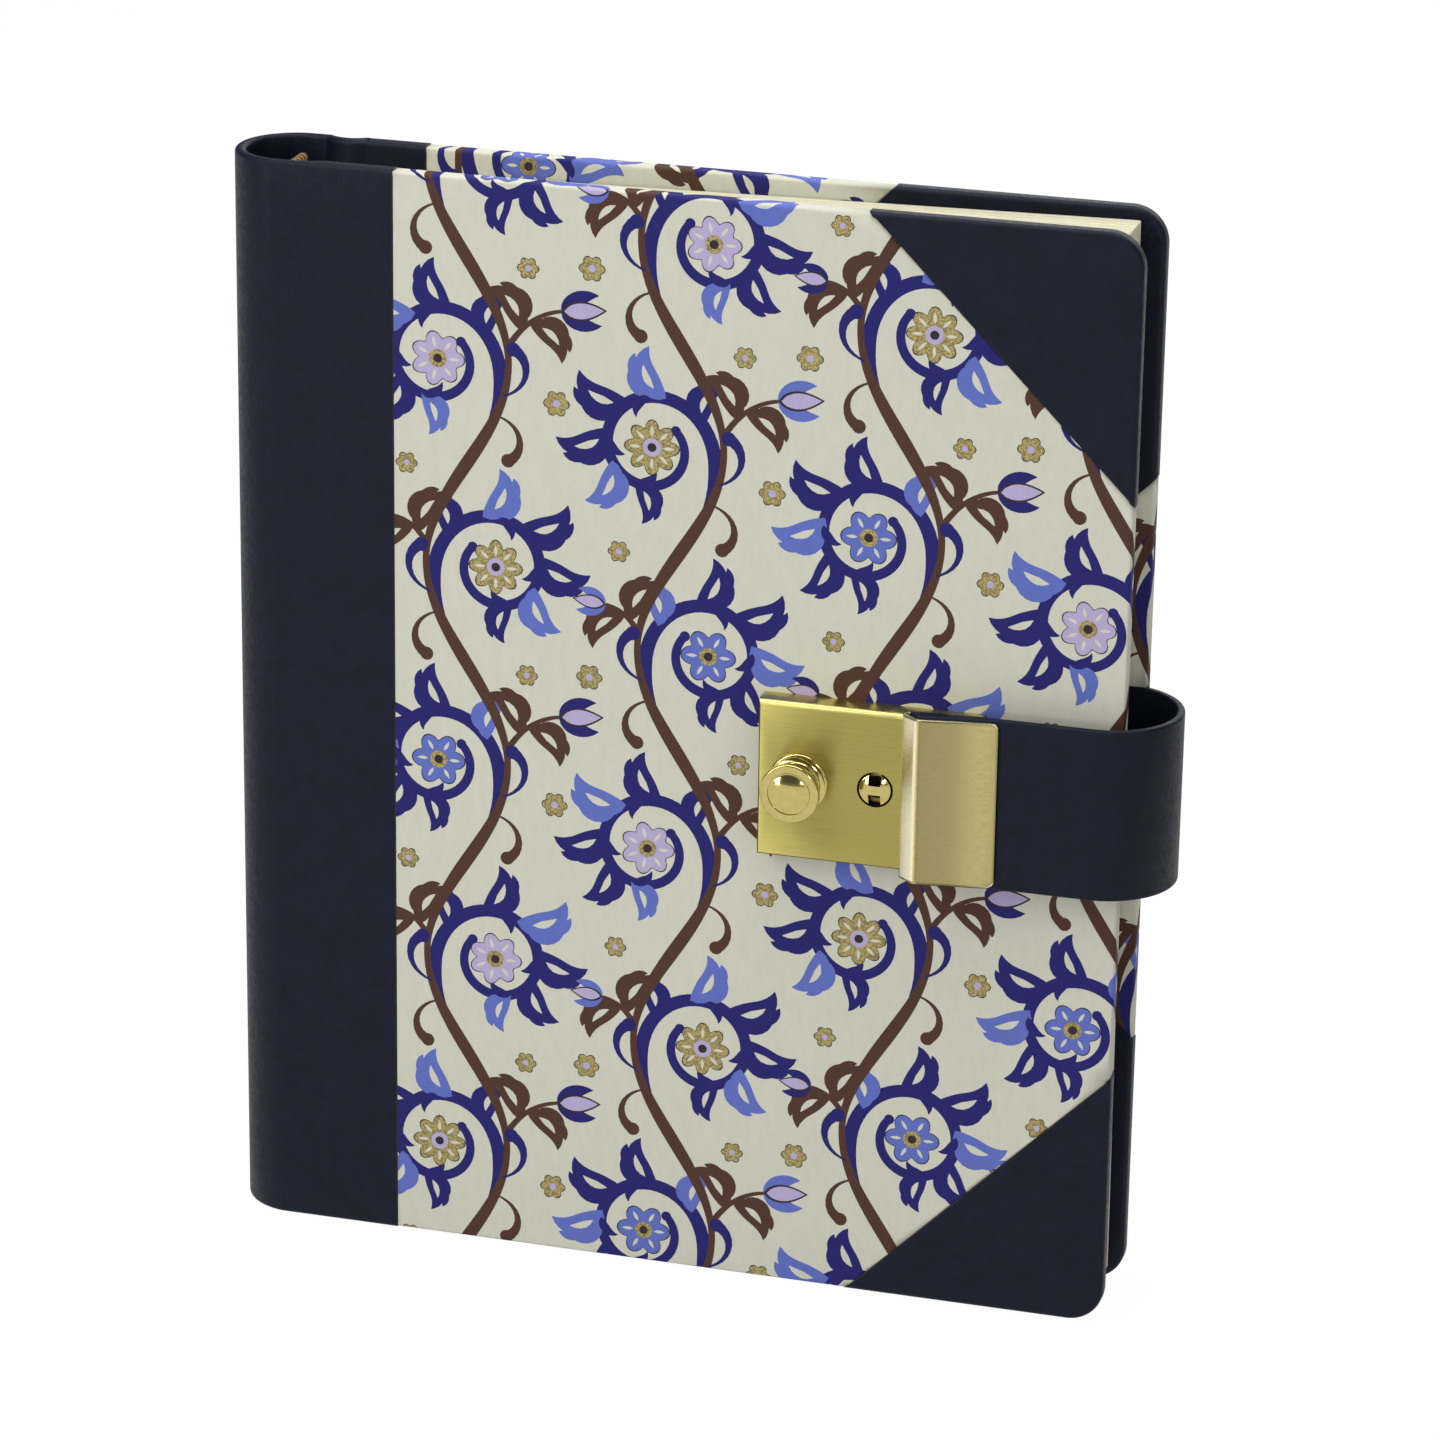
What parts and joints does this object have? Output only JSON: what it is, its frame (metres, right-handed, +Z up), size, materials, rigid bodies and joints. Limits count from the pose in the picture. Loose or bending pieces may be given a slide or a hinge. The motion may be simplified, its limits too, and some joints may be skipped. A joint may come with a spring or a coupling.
{
  "type": "diary with lock",
  "caption": "Half-bound diary with leather spine and corners, patterned paper sides, and a leather strap whose brass hasp latches in a keyed slide lock.",
  "frame": {"origin": "under the middle of the closed book with its strap and lock, on the surface it stands on", "axes": "+Z up, the book stands on its tail; +X from the spine to the fore-edge; the front cover faces -Y"},
  "size_m": [0.1822, 0.0346, 0.21],
  "materials": {
    "book_board": "dull grey card",
    "navy_leather": "smooth fine grain, matt",
    "printed_paper": "smooth printed ornament on cream",
    "endpaper": "plain cream",
    "leaves": "plain cream, cut edges",
    "spine_card": "dark card",
    "lining": "brown kraft",
    "band_cloth": "gold and cream stripes",
    "brushed_brass": "brushed and lacquered",
    "polished_brass": "polished",
    "satin_brass": "satin brushed",
    "steel": "plain"
  },
  "bodies": {
    "book": {"back_board": "book_board", "back_cover_paper": "printed_paper", "back_corner_upper": "navy_leather", "back_corner_lower": "navy_leather", "back_pastedown": "endpaper", "spine_leather": "navy_leather", "spine_card": "spine_card", "spine_lining": "lining", "head_band": "band_cloth", "tail_band": "band_cloth", "back_flyleaf": "endpaper", "strap_root": "navy_leather", "section_1": "leaves", "section_2": "leaves", "section_3": "leaves", "section_4": "leaves", "section_5": "leaves", "section_6": "leaves", "section_7": "leaves", "section_8": "leaves"},
    "front_cover": {"front_board": "book_board", "front_cover_paper": "printed_paper", "front_corner_upper": "navy_leather", "front_corner_lower": "navy_leather", "front_spine_leather": "navy_leather", "front_pastedown": "endpaper", "lock_case": "brushed_brass", "lock_base_plate": "steel", "lock_prongs": "steel", "bolt_spring": "steel"},
    "slide": {"slide_bolt": "steel", "slide_knob": "polished_brass"},
    "barrel": {"key_barrel": "polished_brass", "barrel_cam": "steel"},
    "strap": {"strap_flap": "navy_leather", "hasp_cap": "satin_brass", "hasp_staple": "satin_brass", "hasp_rivets": "satin_brass"},
    "leaves_1": {"leaf_stack_1": "leaves", "front_flyleaf": "endpaper"},
    "leaves_2": {"leaf_stack_2": "leaves"},
    "leaves_3": {"leaf_stack_3": "leaves"}
  },
  "joints": [
    {"name": "cover_hinge", "type": "hinge", "parent": "book", "child": "front_cover", "pos_m": [-0.0741, -0.00515, 0.105], "axis": [0, 0, -1], "range_deg": [0, 165]},
    {"name": "strap_fold", "type": "hinge", "parent": "book", "child": "strap", "pos_m": [0.0911, 0.00202, 0.103], "axis": [0, 0, 1], "range_deg": [0, 110]},
    {"name": "bolt_slide", "type": "slide", "parent": "front_cover", "child": "slide", "axis": [-1, 0, 0], "range_m": [0, 0.003], "stiffness_N_per_m": 150, "springref_m": -0.003, "deforming": ["bolt_spring"]},
    {"name": "key_turn", "type": "hinge", "parent": "front_cover", "child": "barrel", "pos_m": [0.0368, -0.00955, 0.103], "axis": [0, 1, 0], "range_deg": [0, 90]},
    {"name": "leaf_turn_1", "type": "hinge", "parent": "book", "child": "leaves_1", "pos_m": [-0.0651, -0.00115, 0.105], "axis": [0, 0, -1], "range_deg": [0, 139.1]},
    {"name": "leaf_turn_2", "type": "hinge", "parent": "book", "child": "leaves_2", "pos_m": [-0.0605, 0.00068, 0.105], "axis": [0, 0, -1], "range_deg": [0, 135.8]},
    {"name": "leaf_turn_3", "type": "hinge", "parent": "book", "child": "leaves_3", "pos_m": [-0.0559, 0.0025, 0.105], "axis": [0, 0, -1], "range_deg": [0, 132.5]}
  ],
  "couplings": [
    {"joint": "leaf_turn_1", "follows": "cover_hinge", "ratio": 0.84},
    {"joint": "leaf_turn_2", "follows": "cover_hinge", "ratio": 0.82},
    {"joint": "leaf_turn_3", "follows": "cover_hinge", "ratio": 0.8}
  ]
}
